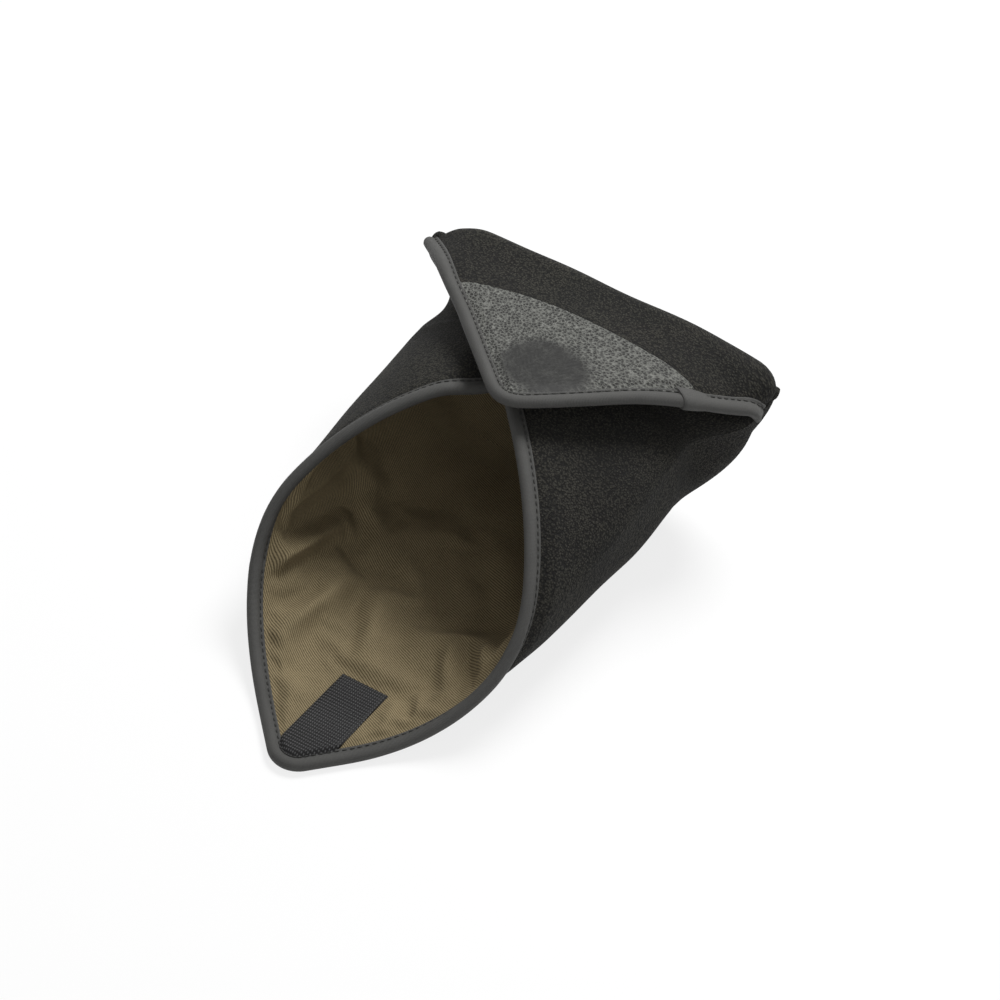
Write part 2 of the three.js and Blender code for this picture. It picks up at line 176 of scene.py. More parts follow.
def trough(s, d):
    # lower half of the pouch: each row runs from the keel to the side line
    sign = np.where(s < 0, -1, 1)
    t = np.abs(s) / sideLength
    kx, ky, kz = keel(d)
    y = sideY(d)
    hx, hz = sideLine(sign, y)
    reach = t * (sideLength + hz - sideHeight)
    px, pz = section(np.minimum(reach, sideLength))
    pz = pz + np.maximum(0, reach - sideLength)
    cx, cz = cornered(t, np.abs(hx - kx), np.maximum(1, hz - kz))
    w = ease(stern["start"], stern["start"] + sternLength / 2, d)
    last = ease(keelEnd - 45, keelEnd - 4, d)
    fx, fz = mix(px / halfWidth, cx, w), mix(pz / hz, cz, w)
    swell = bySide(ear["bulge"], sign) * ease(0.6, 0.92, t) * (1 - ease(0.92, 1.02, t))
    fx, fz = mix(fx, t + swell, last), mix(fz, t**5, last)
    hy = mix(y, ky - bySide(ear["pull"], sign), last)
    return stacked(mix(kx, hx, fx), mix(ky, hy, fz), mix(kz, hz, fz))


def flapZ(y):
    # height of the closing flap's plane, rising towards the front
    return stern["foldZ"] + flap["lift"] + flapRise * (stern["foldY"] - y)


def flapMap(x, q):
    # the closing flap: a rising plane, skewed to the right, its tip drawn forwards, its edges bulging,
    # its ends drooping and the right end of the fold rolled under
    share = x / np.maximum(12, flap["half"] - q)
    rightWave = np.sin(math.pi * np.clip(q / flapWarp["reach"], 0, 1) ** 0.6)
    leftWave = 1 - ease(24, 50, q)
    rightBulge = flapWarp["rightBulge"] * rightWave + endRoll["extra"] * np.exp(-((q / 10) ** 2))
    bulge = np.where(share > 0, rightBulge, flapWarp["leftBulge"] * leftWave)
    across = x + flapWarp["skew"] * q / flapWarp["reach"] + bulge * share
    y = stern["foldY"] - q * flapCos - flapWarp["draw"] * ease(0, 55, q) * (1 - 1.5 * ease(0, 55, x))
    droop = flapWarp["rightDroop"] * ease(42, 100, across) * (0.35 + 0.65 * ease(0, 20, q))
    droop = droop + flapWarp["leftDroop"] * ease(63, 102, -across)
    crown = 1.6 * np.exp(-((across / 60) ** 2)) * ease(0, 25, q)
    bend = np.maximum(1e-4, (1 - ease(endRoll["to"], endRoll["from"], q)) / endRoll["radius"])
    past = np.maximum(0, across - endRoll["start"])
    height = flapZ(y) - stern["tilt"] * across - droop + crown - (1 - np.cos(past * bend)) / bend
    return stacked(stern["shift"] + across - past + np.sin(past * bend) / bend, y, height)


foldTurn = math.pi / 2 * (stern["overhang"] + flap["lift"]) / 2


def backMap(x, p):
    # stern, then a quarter turn over the fold, then the closing flap, by length p along the cloth
    u = x / flap["half"]
    rear = trough(u * sideLength, keelEnd + np.minimum(p, 0))
    front = flapMap(x, np.maximum(0, p - foldTurn))
    a = np.clip(p / foldTurn, 0, 1) * math.pi / 2
    over = stacked(
        mix(rear[..., 0], front[..., 0], a * 2 / math.pi),
        mix(front[..., 1], rear[..., 1], np.cos(a)),
        mix(rear[..., 2], front[..., 2], np.sin(a)),
    )
    return np.where((p <= 0)[..., None], rear, np.where((p >= foldTurn)[..., None], front, over))


def wing(s, y):
    # upper half of the section, widening behind the mouth edge, the left corner dipping under the right one
    sign = np.where(s < 0, -1, 1)
    length = np.abs(s)
    hx, hz = sideLine(sign, sideLength + np.maximum(0, y - length))
    px, pz = section(length)
    top = np.minimum(topHeight, flapZ(y) - stack)
    dip = np.where(sign < 0, -stack * ease(topLength - 22, topLength - 4, length), 0)
    fz = (pz - sideHeight) / (topHeight - sideHeight)
    return stacked(px / halfWidth * np.abs(hx) * sign, y, mix(hz, top, fz) + dip)


def wrapMap(s, d):
    # the whole pouch by length across and along the cloth: trough below the side lines, wings above
    low = trough(np.clip(s, -sideLength, sideLength), d)
    high = wing(np.where(np.abs(s) < sideLength, np.where(s < 0, -1, 1) * sideLength, s), sideY(d))
    return np.where((np.abs(s) <= sideLength)[..., None], low, high)


def mouthEdge(e):
    # edge of a side flap: the mouth edge at forty-five degrees, a rounded corner,
    # then the edge that runs back to the ear
    lean = np.where(e < cornerY, 1.0, tuck["lean"])
    return cornerY - np.hypot((e - cornerY) * lean, flap["cornerRound"])


rearReach = float(mouthEdge(np.array(split["rear"])))


def sideMap(s, e):
    # a side of the cloth: the pouch, then behind it the triangle folded in between the stern and the flap
    sign = np.where(s < 0, -1, 1)
    b = np.clip((np.abs(s) - sideLength) / (rearReach - sideLength), 0, 1)
    a = np.clip((e - split["rear"]) / tuck["length"] / np.maximum(0.01, 1 - b), 0, 1.05)
    rear = wrapMap(s, split["rear"] + 0 * e)
    corner = trough(sign * sideLength, split["rear"] + 0 * e)
    edge = trough(sign * sideLength, split["rear"] + (keelEnd - split["rear"]) * a)
    sag = -tuck["sag"] * np.sin(math.pi * np.clip(a, 0, 1)) * np.sin(math.pi * b)
    behind = rear + (edge - corner) * (1 - b)[..., None] + stacked(0, 0, sag)
    return np.where((e <= split["rear"])[..., None], wrapMap(s, np.minimum(e, split["rear"])), behind)


def normalOf(shape, a, b):
    # outward normal of a shape, from a step to either side in both of its lengths
    step = 0.4
    across = shape(a + step, b) - shape(a - step, b)
    along = shape(a, b + step) - shape(a, b - step)
    return unit(-np.cross(across, along))


def lifted(shape, a, b, n):
    # points at a height n over the shape
    a, b = np.broadcast_arrays(np.asarray(a, float), np.asarray(b, float))
    return shape(a, b) + np.asarray(n)[..., None] * normalOf(shape, a, b)


# Mesh makers
def makeMesh(name, points, faces, uv, finish, smoothAngle=50):
    # a smooth piece from points in millimetres, with its lengths on the cloth as its map
    mesh = bpy.data.meshes.new(name)
    mesh.from_pydata(place(points), [], faces)
    layer = mesh.uv_layers.new(name="cloth")
    loops = np.empty(len(mesh.loops), np.int32)
    mesh.loops.foreach_get("vertex_index", loops)
    layer.data.foreach_set("uv", (np.asarray(uv)[loops] * 0.001).astype(np.float32).ravel())
    mesh.polygons.foreach_set("use_smooth", np.ones(len(mesh.polygons), bool))
    mesh.update()
    mesh.set_sharp_from_angle(angle=math.radians(smoothAngle))
    mesh.materials.append(finish)
    piece = bpy.data.objects.new(name, mesh)
    scene.collection.objects.link(piece)
    return piece


def quads(rows, columns, first=0, wrapColumns=False):
    # faces of a grid of points stored row by row
    j, i = np.meshgrid(np.arange(rows - 1), np.arange(columns - (not wrapColumns)), indexing="ij")
    near, after = j * columns + i, j * columns + (i + 1) % columns
    return first + np.stack([near, after, after + columns, near + columns], -1).reshape(-1, 4)


def shellPiece(name, shape, a, b, low, high, finish):
    # a closed shell: the grid lifted to a high and a low offset along its normal, joined round the border
    a, b = np.broadcast_arrays(a, b)
    rows, columns = a.shape
    top, bottom = (lifted(shape, a, b, np.broadcast_to(n, a.shape)) for n in (high, low))
    count = rows * columns
    index = np.arange(count).reshape(rows, columns)
    ring = np.concatenate([index[0, :-1], index[:-1, -1], index[-1, :0:-1], index[:0:-1, 0]])
    after = np.roll(ring, -1)
    upper = quads(rows, columns)[:, ::-1]
    lower = quads(rows, columns, count)
    border = np.stack([ring, after, after + count, ring + count], -1)
    points = np.concatenate([top.reshape(-1, 3), bottom.reshape(-1, 3)])
    uv = np.tile(np.stack([a.ravel(), b.ravel()], -1), (2, 1))
    return makeMesh(name, points, np.concatenate([upper, lower, border]), uv, finish)


def runOf(path):
    # length along a polyline at each of its points
    return np.concatenate([[0], np.cumsum(np.linalg.norm(np.diff(path, axis=0), axis=1))])


def resample(path, step):
    # a polyline walked at even steps
    path = np.asarray(path, float)
    length = runOf(path)
    at = np.linspace(0, length[-1], max(4, int(length[-1] / step)))
    return np.stack([np.interp(at, length, path[:, k]) for k in range(path.shape[1])], -1)


def softened(path, rounds):
    # corners of a polyline rounded by averaging each point with its neighbours
    path = np.array(path, float)
    for _ in range(rounds):
        path[1:-1] = (path[:-2] + 2 * path[1:-1] + path[2:]) / 4
    return path


def inwardOf(path, side):
    # direction into the cloth, square to its edge
    t = unit(np.gradient(path, axis=0))
    return side * np.stack([-t[:, 1], t[:, 0]], -1)


def ringAngles(count):
    return np.linspace(0, 2 * math.pi, count, endpoint=False)


def roundRings(core, along, out, radius, angles):
    # a round tube: away from its core by the radius, at each angle from one direction across it
    a = angles[None, :, None]
    ring = out[:, None, :] * np.cos(a) + np.cross(along, out)[:, None, :] * np.sin(a)
    return core[:, None, :] + ring * radius[:, None, None]


def carried(shape, path, inward, outline, middle, size):
    # a closed outline of (depth into the cloth, height over it), scaled about its middle,
    # carried along a path on the cloth
    depth = middle + (outline[None, :, 0] - middle) * size[:, None]
    height = outline[None, :, 1] * size[:, None]
    a = path[:, :1] + inward[:, :1] * depth
    b = path[:, 1:] + inward[:, 1:] * depth
    core = path + inward * middle
    return shape(a, b) + height[..., None] * normalOf(shape, core[:, :1] + 0 * a, core[:, 1:] + 0 * b)


def tubePiece(name, points, uv, finish, smoothAngle=80):
    # rings of points joined into a closed tube with flat caps
    rows, columns, _ = points.shape
    index = np.arange(rows * columns).reshape(rows, columns)
    faces = [*quads(rows, columns, 0, True).tolist(), index[0, ::-1].tolist(), index[-1].tolist()]
    flat = np.stack(np.broadcast_arrays(*uv), -1).reshape(-1, 2)
    piece = makeMesh(name, points.reshape(-1, 3), faces, flat, finish, smoothAngle)
    outwards(piece)
    return piece


def sweepPiece(name, shape, path, inward, outline, finish, roundEnds):
    # an outline carried along a path, its ends cut or rounded
    middle, rounding = 2.4, 3.2
    run = runOf(path)
    size = np.ones_like(run)
    for isRound, gap in zip(roundEnds, (run, run[-1] - run)):
        if isRound:
            size = size * np.sqrt(np.maximum(0.03, 1 - np.clip(1 - gap / rounding, 0, 1) ** 2))
    points = carried(shape, path, inward, outline, middle, size)
    return tubePiece(name, points, (run[:, None], runOf(outline)), finish)


def outwards(piece):
    # turns the faces of a closed piece outwards where its volume comes out negative
    mesh = piece.data
    mesh.calc_loop_triangles()
    co = np.empty(len(mesh.vertices) * 3)
    mesh.vertices.foreach_get("co", co)
    tri = np.empty(len(mesh.loop_triangles) * 3, np.int32)
    mesh.loop_triangles.foreach_get("vertices", tri)
    p = co.reshape(-1, 3)[tri.reshape(-1, 3)]
    if np.einsum("ij,ij->", p[:, 0], np.cross(p[:, 1], p[:, 2])) < 0:
        mesh.flip_normals()


# Shader sums as Python: a wire is one output of a node tree
class Wire:
    def __init__(self, finish, socket):
        self.finish = finish
        self.socket = socket

    def math(self, operation, *values):
        return self.finish.add("ShaderNodeMath", {"operation": operation}, dict(enumerate(values)))

    def __add__(self, other):
        return self.math("ADD", self, other)

    def __sub__(self, other):
        return self.math("SUBTRACT", self, other)

    def __rsub__(self, other):
        return self.math("SUBTRACT", other, self)

    def __mul__(self, other):
        return self.math("MULTIPLY", self, other)

    def __pow__(self, other):
        return self.math("POWER", self, other)

    __radd__ = __add__
    __rmul__ = __mul__

    def sin(self):
        return self.math("SINE", self)

    def step(self, low, high):
        return self.finish.add("ShaderNodeMapRange", {"interpolation_type": "SMOOTHSTEP"},
                               {"Value": self, "From Min": low, "From Max": high})


class Finish:
    def __init__(self, name, owner=None, shader="Principled BSDF", **skin):
        self.material = owner or bpy.data.materials.new(name)
        self.material.use_nodes = True
        self.tree = self.material.node_tree
        self.skin = self.tree.nodes[shader]
        for socket, value in skin.items():
            self.skin.inputs[socket.replace("_", " ")].default_value = value

    def add(self, kind, settings=None, sockets=None, output=0):
        node = self.tree.nodes.new(kind)
        for key, value in (settings or {}).items():
            setattr(node, key, value)
        for key, value in (sockets or {}).items():
            if isinstance(value, Wire):
                self.tree.links.new(value.socket, node.inputs[key])
            else:
                node.inputs[key].default_value = value
        return Wire(self, node.outputs[output])

    def cloth(self):
        # the piece's own length across and along the cloth, in millimetres
        flat = self.add("ShaderNodeTexCoord", output="UV")
        scaled = self.add("ShaderNodeVectorMath", {"operation": "SCALE"}, {0: flat, "Scale": 1000.0})
        first = self.add("ShaderNodeSeparateXYZ", None, {0: scaled})
        return scaled, first, Wire(self, first.socket.node.outputs[1])

    def noise(self, vector, size, detail=2.0):
        return self.add("ShaderNodeTexNoise", None, {"Vector": vector, "Scale": 1 / size, "Detail": detail})

    def blend(self, factor, low, high):
        return self.add("ShaderNodeMix", {"data_type": "RGBA"}, {0: factor, 6: (*low, 1), 7: (*high, 1)}, 2)

    def bump(self, height, distance, strength):
        sockets = {"Height": height, "Distance": distance * 0.001, "Strength": strength}
        return self.add("ShaderNodeBump", None, sockets)

    def backdrop(self):
        # 1 where the camera, a glossy surface or glass looks at it, 0 for the light it throws on the object
        kinds = ("Camera", "Glossy", "Transmission")
        rays = [self.add("ShaderNodeLightPath", output=f"Is {kind} Ray") for kind in kinds]
        return rays[0].math("MINIMUM", rays[0] + rays[1] + rays[2], 1.0)

    def feed(self, **wires):
        for socket, wire in wires.items():
            self.tree.links.new(wire.socket, self.skin.inputs[socket.replace("_", " ")])
        return self.material


def loopFabric():
    # short loop pile: round loops just under a millimetre, their tops painted lighter as painted highlight
    # and the hollows between them darker as painted shade, in slightly uneven drifts of the cloth's own tone
    # deep is the colour of the painted shade between the loops, tip that of the painted highlight on their
    # tops
    loops = {"size": 0.95, "deep": (0.0018, 0.0017, 0.0013), "tip": (0.074, 0.071, 0.0575)}
    finish = Finish("loopFabric", Roughness=0.95, Specular_IOR_Level=0.25)
    vector = finish.cloth()[0]
    sockets = {"Vector": vector, "Scale": 1 / loops["size"], "Randomness": 1.0}
    cell = finish.add("ShaderNodeTexVoronoi", None, sockets)
    tint = finish.noise(vector, 0.6, 3.0)
    drift = finish.noise(vector, 26.0, 3.0)
    crown = 1 - cell * 1.15
    # crown paints a highlight on each loop's top and shade between the loops; tint and drift are the cloth's
    # own uneven tone
    shade = crown * 0.7 + tint * 1.1 + drift * 0.45 - 0.98
    colour = finish.blend(shade, loops["deep"], loops["tip"])
    normal = finish.bump(crown + tint * 0.8, 0.55, 0.8)
    return finish.feed(Base_Color=colour, Roughness=0.86 + drift * 0.12, Normal=normal)


def twill():
    # olive twill: slanted ribs broken by the cross thread
    weave = {"pitch": 0.97, "thread": 0.7, "deep": (0.036, 0.027, 0.013), "lit": (0.310, 0.248, 0.143)}
    finish = Finish("twill", Roughness=0.85, Specular_IOR_Level=0.2)
    vector, across, along = finish.cloth()
    wobble = finish.noise(vector, 3.0) * 0.5
    rib = ((across * 0.41 + along * 0.91 + wobble) * (2 * math.pi / weave["pitch"])).sin() * 0.5 + 0.5
    thread = ((across * 0.91 - along * 0.41) * (2 * math.pi / weave["thread"])).sin() * 0.5 + 0.5
    drift = finish.noise(vector, 18.0, 3.0)
    speck = finish.noise(vector, 0.9, 2.0)
    shade = rib * 0.62 + thread * 0.14 + drift * 0.3 + speck * 0.4 - 0.26
    colour = finish.blend(shade, weave["deep"], weave["lit"])
    normal = finish.bump(rib + thread * 0.35, 0.12, 0.7)
    return finish.feed(Base_Color=colour, Roughness=0.78 + drift * 0.15, Normal=normal)


def bindingTape():
    # smooth woven tape: fine ribs across its length and round it, in soft uneven drifts
    weave = {"rib": 0.55, "cross": 0.4, "deep": (0.022, 0.022, 0.021), "lit": (0.085, 0.084, 0.080)}
    finish = Finish("bindingTape", Roughness=0.7, Specular_IOR_Level=0.25)
    vector, run, girth = finish.cloth()
    rib = (run * (2 * math.pi / weave["rib"])).sin() * 0.5 + 0.5
    cross = (girth * (2 * math.pi / weave["cross"])).sin() * 0.5 + 0.5
    drift = finish.noise(vector, 9.0, 3.0)
    speck = finish.noise(vector, 0.5, 2.0)
    shade = rib * 0.18 + cross * 0.12 + drift * 0.5 + speck * 0.5 - 0.1
    colour = finish.blend(shade, weave["deep"], weave["lit"])
    normal = finish.bump(rib + cross * 0.6 + speck, 0.09, 0.8)
    return finish.feed(Base_Color=colour, Roughness=0.55 + drift * 0.25, Normal=normal)


def pebbledLeather():
    # pitted grain: fine ridges round pits, the ridges painted lighter as painted highlight and the pits
    # darker as painted shade, pressed smooth in one round blank near the tip
    # deep is the colour of the painted shade in the pits, lit that of the painted highlight on the ridges
    grain = {
        "size": 1.35, "deep": (0.010, 0.010, 0.0092), "lit": (0.140, 0.142, 0.130),
        "blank": (3.0, 67.3), "radius": 18.0,
    }
    finish = Finish("pebbledLeather", Roughness=0.55, Specular_IOR_Level=0.16)
    vector, across, along = finish.cloth()
    drift = finish.add("ShaderNodeTexNoise", None, {"Vector": vector, "Scale": 0.7, "Detail": 2.0}, "Color")
    warp = finish.add("ShaderNodeVectorMath", {"operation": "ADD"}, {0: vector, 1: drift})
    scale = {"Vector": warp, "Scale": 1 / grain["size"], "Randomness": 1.0}
    net = finish.add("ShaderNodeTexVoronoi", {"feature": "DISTANCE_TO_EDGE"}, scale)
    dome = finish.add("ShaderNodeTexVoronoi", {"feature": "SMOOTH_F1"}, {**scale, "Smoothness": 0.4})
    fine = finish.noise(vector, 0.5, 3.0)
    patchy = finish.noise(vector, 6.0, 2.0)
    away = ((across - grain["blank"][0]) ** 2 + (along - grain["blank"][1]) ** 2) ** 0.5
    relief = 0.08 + 0.92 * away.step(grain["radius"] - 4, grain["radius"] + 4)
    ridgeAndHighlight = 1 - net.step(0.0, 0.16)
    crown = 1 - dome * 1.1
    # the shade paints a highlight on the ridges and shade in the pits, both weak in the pressed blank
    shade = relief * (0.90 + ridgeAndHighlight * 0.6 - crown * 1.2) + (fine - 0.5) * 0.5 + (patchy - 0.5) * 0.5 - 0.03
    colour = finish.blend(shade, grain["deep"], grain["lit"])
    height = relief * (ridgeAndHighlight * 0.4 - crown) + fine * 0.08
    roughness = 0.5 + fine * 0.14 - relief * 0.06
    return finish.feed(Base_Color=colour, Roughness=roughness, Normal=finish.bump(height, 0.42, 1.0))


def hookTape():
    # moulded hook tape: ground weave in a fine ladder
    ladder = {"pitch": 1.6, "rib": 1.1, "deep": (0.002, 0.002, 0.0021), "lit": (0.078, 0.078, 0.079)}
    finish = Finish("hookTape", Roughness=0.6, Specular_IOR_Level=0.2)
    vector, across, along = finish.cloth()
    row = (along * (2 * math.pi / ladder["pitch"])).sin() * 0.5 + 0.5
    rib = (across * (2 * math.pi / ladder["rib"])).sin() * 0.5 + 0.5
    speck = finish.noise(vector, 0.6, 2.0)
    colour = finish.blend(row * rib * 1.2 + speck * 0.5 - 0.34, ladder["deep"], ladder["lit"])
    normal = finish.bump(row * rib, 0.4, 0.8)
    return finish.feed(Base_Color=colour, Roughness=0.45 + speck * 0.25, Normal=normal)


def sewingThread():
    # twisted thread: slanted turns along each stitch
    finish = Finish("sewingThread", Roughness=0.6, Specular_IOR_Level=0.25)
    thread = {"pitch": 0.5, "deep": (0.008, 0.008, 0.0075), "lit": (0.045, 0.045, 0.042)}
    run, girth = finish.cloth()[1:]
    twist = ((run * 1.6 + girth) * (2 * math.pi / thread["pitch"])).sin() * 0.5 + 0.5
    colour = finish.blend(twist, thread["deep"], thread["lit"])
    return finish.feed(Base_Color=colour, Normal=finish.bump(twist, 0.06, 0.6))


loopFinish, twillFinish, tapeFinish = loopFabric(), twill(), bindingTape()
leatherFinish, hookFinish, threadFinish = pebbledLeather(), hookTape(), sewingThread()
print("finishes made")


# Outlines of the cloth
def cornerHalf(distance, radius, inset):
    # half width of a right-angled corner with a round tip, inset from its edge
    r = max(1.0, radius - inset)
    dip = radius * root2 - distance
    return np.where(dip > r / root2, np.sqrt(np.maximum(0, r * r - dip * dip)), distance - inset * root2)


def cornerRows(radius, inset, far, count):
    # row distances from just inside a round tip, closer together near the tip
    near = radius * root2 - (radius - inset) * 0.995
    return near + (far - near) * np.linspace(0, 1, count) ** 1.6


# the bead by its centre, half width and height
tape = {"depth": 5.6, "bead": (1.9, 2.9, 2.75), "flange": 2.1, "step": 1.6}
shellInset = 1.2
liningInset = 3.4


def tapeProfile():
    # folded tape: a flat stitched flange on each face and a soft bead round the edge
    centre, wide, high = tape["bead"]
    a = np.radians(np.linspace(48, 312, 19))
    bead = np.stack([centre + wide * np.cos(a), high * np.sin(a)], -1)
    f, d = tape["flange"], tape["depth"]
    hem = [[d + 0.25, f - 0.4], [d, f - 0.1], [d - 0.45, f], [d - 0.8, f - 0.4]]
    top = np.array([*hem, [centre + wide * 0.76, f - 0.35]])
    lip = np.array([[d, -f + 0.45], [1.6, -f + 0.5], [0.7, 0.0], [1.6, f - 0.5], [d, f - 0.45]])
    return np.concatenate([top, bead, top[::-1] * (1, -1), lip])


profile = tapeProfile()


def stitchPiece(name, shape, path, inward, face):
    # lock stitches as short flat loops of thread lying on the flange
    stitch = {"pitch": 3.2, "length": 2.3, "radius": 0.34, "depth": 4.6}
    rings, around = 7, 6
    spots = resample(np.concatenate([path, inward], 1), stitch["pitch"])[1:-1]
    centre, into = spots[:, :2], unit(spots[:, 2:])
    along = np.stack([into[:, 1], -into[:, 0]], -1)
    t = np.linspace(-1, 1, rings)
    ring = ringAngles(around)
    thick = stitch["radius"] * np.sqrt(np.maximum(0.02, 1 - t**4))[:, None]
    depth = stitch["depth"] + thick * np.cos(ring)
    at = centre[:, None, None, :] + into[:, None, None, :] * depth[None, ..., None]
    at = at + along[:, None, None, :] * (t * stitch["length"] / 2)[None, :, None, None]
    height = face * (tape["flange"] - 0.2 + thick * np.sin(ring) - 0.25 * (t**4)[:, None])
    a, b = at[..., 0], at[..., 1]
    points = shape(a, b) + np.broadcast_to(height, a.shape)[..., None] * normalOf(shape, a, b)
    cap = np.array([[3, 2, 1, 0], [5, 4, 3, 0]])
    one = np.concatenate([quads(rings, around, 0, True), cap, (rings - 1) * around + cap[:, ::-1]])
    faces = (one[None] + (np.arange(len(centre)) * rings * around)[:, None, None]).reshape(-1, 4)
    uv = np.stack(np.broadcast_arrays((t * 1.15)[:, None], ring * 0.3, a)[:2], -1).reshape(-1, 2)
    piece = makeMesh(name, points.reshape(-1, 3), faces, uv, threadFinish, 80)
    outwards(piece)
    return piece


def sideToSide(count):
    return np.linspace(-1, 1, count)[None, :]


def slabFor(name, low, high, direction, reach):
    # the zone in which the cloth bends: along a direction square to the joint's axis,
    # from reach[0] before the axis to reach[1] past it
    joint = joints[name]
    axis, at = unit(np.array(joint["axis"])), np.array(joint["pos_m"])
    d = np.array(direction, float)
    d = unit(d - axis * (d @ axis))
    return at - d * reach[0] * 0.001, at + d * reach[1] * 0.001, low, high


blendSlab = {
    "tongueFold": slabFor("tongue_fold", "base", "front_tongue", (0, -1, 0), (7, 9)),
    "rightFold": slabFor("right_flap_open", "base", "right_flap", (-0.5, 0, 0.85), (-2, 22)),
    "leftFold": slabFor("left_flap_open", "base", "left_flap", (0.83, 0, 0.55), (-14, 42)),
    "backFold": slabFor("closing_flap_lift", "base", "closing_flap", (0, -1, 0.8), (4, 28)),
}


def follow(piece, where):
    # a piece over a fold of the wrap keeps its place in the part's frame, any other rides on one body
    if where in blendSlab:
        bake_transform(piece)
    else:
        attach(piece, where)
    return piece


# Padded outer cloth
mainRows = np.linspace(split["front"], split["rear"], 90)
seam = -12.0  # where the stern meets the fold, by length along the cloth
sternRows = np.linspace(split["rear"], keelEnd + seam, 36)
sternSpan = (sternRows - keelEnd)[:, None]
foldRows = np.linspace(seam, foldTurn + 24, 56)
earRows = np.concatenate([sternRows[1:], keelEnd + foldRows[(foldRows > seam) & (foldRows <= 0)]])
tuckRows = split["rear"] + (earRows - split["rear"]) * tuck["length"] / (keelEnd - split["rear"])
sideRows = np.concatenate([mainRows, tuckRows[tuckRows < split["rear"] + tuck["length"] - 4.2]])


def puff(s, d):
    # slow swells that the foam leaves in the cloth, none where it lies on the ground or meets the fold-in,
    # and a right flank fuller than the left
    swell = 0.35 * np.sin(s / 17 + d / 31) * np.sin(d / 23 - s / 41 + 0.7) + 0.18 * np.sin(s / 7.3 - d / 9.1)
    ground = (1 - ease(10, 42, np.abs(s))) * (1 - ease(205, 245, d))
    flank = 2.8 * ease(30, 58, s) * (1 - ease(92, 135, s)) * ease(70, 110, d) * (1 - ease(165, 210, d))
    return swell * (1 - ground) * (1 - ease(66, 84, np.abs(s)) * ease(185, 214, d)) + flank


def thickness(swell, edge):
    # full in the middle, squeezed flat under the binding
    return cloth["half"] + swell * ease(4.5, 13, edge) - 0.8 * (1 - ease(4.0, 9.5, edge))


def paddedPiece(name, shape, a, b, low, high, where, *nodes):
    piece = shellPiece(name, shape, a, b, low, high, loopFinish)
    follow(piece, where)
    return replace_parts(piece, *nodes) if nodes else piece


def sideSplit(d):
    # where a side flap begins, by length across the cloth
    return mix(split["side"], sideLength, ease(170, split["rear"], d))


def edgeSlope(e):
    # length across the cloth for each millimetre square to a side flap's edge
    return np.where(e < cornerY, root2, math.hypot(1, tuck["lean"]))


def edgeGap(s, e):
    # distance to the edge of a side flap
    return (mouthEdge(e) - np.abs(s)) / edgeSlope(e)


def frontShell():
    # the round-tipped corner of the tongue
    d = cornerRows(tongueTip, shellInset, split["front"], 75)[:, None]
    half = cornerHalf(d, tongueTip, shellInset)
    s = half * sideToSide(64)
    high = thickness(puff(s, d), (half - np.abs(s)) / root2 + shellInset)
    paddedPiece("front_cloth", wrapMap, s, d + 0 * s, cloth["foamLow"], high, "tongueFold",
                "tongue_outer", "tongue_padding")


def spineShell():
    # the pouch between the two side flaps
    d = mainRows[:, None]
    s = sideSplit(d) * sideToSide(70)
    high = thickness(puff(s, d), edgeGap(s, d))
    paddedPiece("base_cloth", wrapMap, s, d + 0 * s, cloth["foamLow"], high, "base",
                "base_outer", "base_padding")


def flapShell(sign, name, fold):
    # a side flap from its split to its edge, its columns running left to right on both sides
    e = sideRows[:, None]
    edge = mouthEdge(e) - shellInset * edgeSlope(e)
    s = mix(sideSplit(e), edge, np.linspace(0, 1, 64)[None, :])
    high = thickness(puff(sign * s, e), edgeGap(s, e))
    paddedPiece(name + "_cloth", sideMap, (sign * s)[:, ::sign], e + 0 * s, cloth["foamLow"], high[:, ::sign],
                fold, name + "_outer", name + "_padding")


def flapRows(inset, far, count):
    # rows close together over the fold, then out to the tip
    tip = foldTurn + flap["half"] - cornerRows(flap["tipRadius"], inset, far, count)[::-1]
    return np.concatenate([foldRows, tip[tip > foldRows[-1] + 1]])[:, None]


def backPadding(name, p, where, *nodes):
    # as wide as the fold up the stern, then the round-tipped corner of the flap, fullest at the fold
    corner = cornerHalf(flap["half"] - np.maximum(0, p - foldTurn), flap["tipRadius"], shellInset)
    half = np.where(p > foldTurn, corner, flap["half"] - shellInset * root2 * ease(-12, 0, p))
    x = half * sideToSide(140)
    edge = mix(20, (half - np.abs(x)) / root2 + shellInset, ease(-14, 0, p))
    fold = np.exp(-(((p - 5) / 11) ** 2))
    high = thickness(puff(x * sideLength / flap["half"], keelEnd + p) + 2.2 * fold, edge)
    paddedPiece(name, backMap, x, p + 0 * x, cloth["foamLow"] + 0.6 * fold, high, where, *nodes)


frontShell()
spineShell()
flapShell(1, "right_flap", "rightFold")
flapShell(-1, "left_flap", "leftFold")
backPadding("stern_cloth", sternSpan, "base")
backPadding("back_cloth", flapRows(shellInset, flap["half"] - 0.8, 76), "backFold",
            "closing_flap_outer", "closing_flap_padding")


